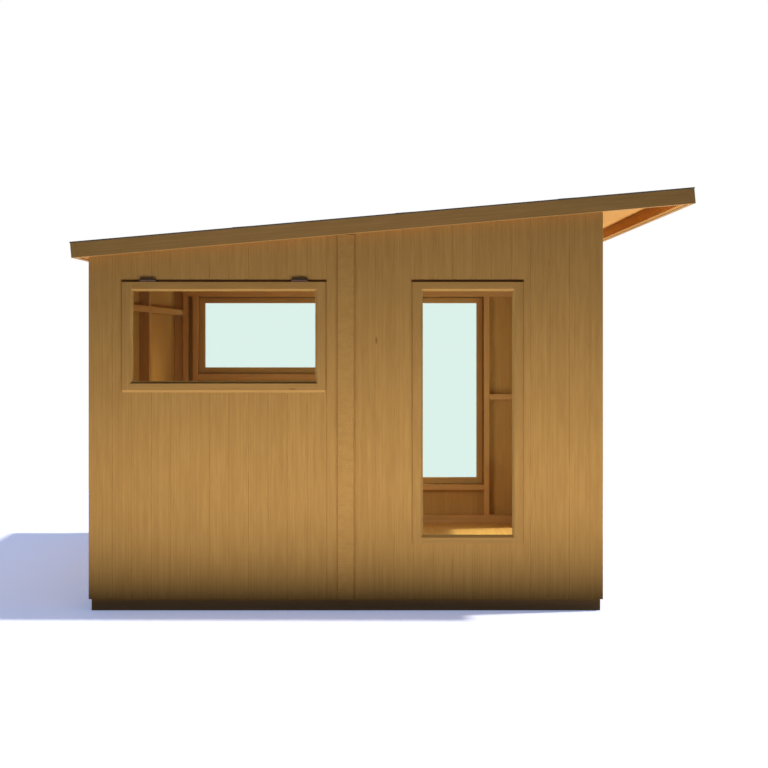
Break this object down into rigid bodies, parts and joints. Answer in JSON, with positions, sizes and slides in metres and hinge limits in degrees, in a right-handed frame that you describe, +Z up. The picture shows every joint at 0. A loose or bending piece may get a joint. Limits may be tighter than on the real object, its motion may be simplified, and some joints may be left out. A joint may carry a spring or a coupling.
{
  "type": "summerhouse",
  "caption": "Pent-roofed timber summerhouse with a deep front overhang, vertical boarded walls, top-hung and tall side windows and glazed double doors.",
  "frame": {"origin": "on the ground, at the middle of the wall footprint", "axes": "+Z up, the front with the doors and the roof overhang faces -Y, the left wall seen from the front faces -X"},
  "size_m": [3.104, 3.6288, 2.4661],
  "materials": {
    "cladding": "satin",
    "framing": "matte",
    "joinery": "satin",
    "glazing": "clear",
    "ironmongery": "satin",
    "bearers": "matte",
    "boards": "matte",
    "fascia": "satin",
    "felt": "matte"
  },
  "bodies": {
    "root": {"floor_bearers": "bearers", "floor_deck": "boards", "left_wall_rear_cladding": "cladding", "left_wall_front_cladding": "cladding", "right_wall_rear_cladding": "cladding", "right_wall_front_cladding": "cladding", "rear_wall_left_cladding": "cladding", "rear_wall_right_cladding": "cladding", "front_wall_left_cladding": "cladding", "front_wall_right_cladding": "cladding", "front_wall_head_cladding": "cladding", "left_wall_studs": "framing", "left_wall_rails": "framing", "right_wall_studs": "framing", "right_wall_rails": "framing", "rear_wall_studs": "framing", "rear_wall_rails": "framing", "front_wall_studs": "framing", "front_wall_rails": "framing", "joint_battens": "cladding", "left_wide_window": "joinery", "right_wide_window": "joinery", "window_hinges": "ironmongery", "left_tall_window": "joinery", "right_tall_window": "joinery", "front_left_window": "joinery", "front_right_window": "joinery", "left_wall_glass": "glazing", "right_wall_glass": "glazing", "front_wall_glass": "glazing", "door_frame": "joinery", "left_door": "joinery", "right_door": "joinery", "door_glass": "glazing", "door_hinges": "ironmongery", "door_handle": "ironmongery", "roof_rafters": "framing", "roof_beams": "framing", "roof_purlins": "framing", "roof_deck": "boards", "front_fascia": "fascia", "rear_fascia": "fascia", "left_fascia": "fascia", "right_fascia": "fascia", "roof_felt": "felt"}
  },
  "joints": []
}
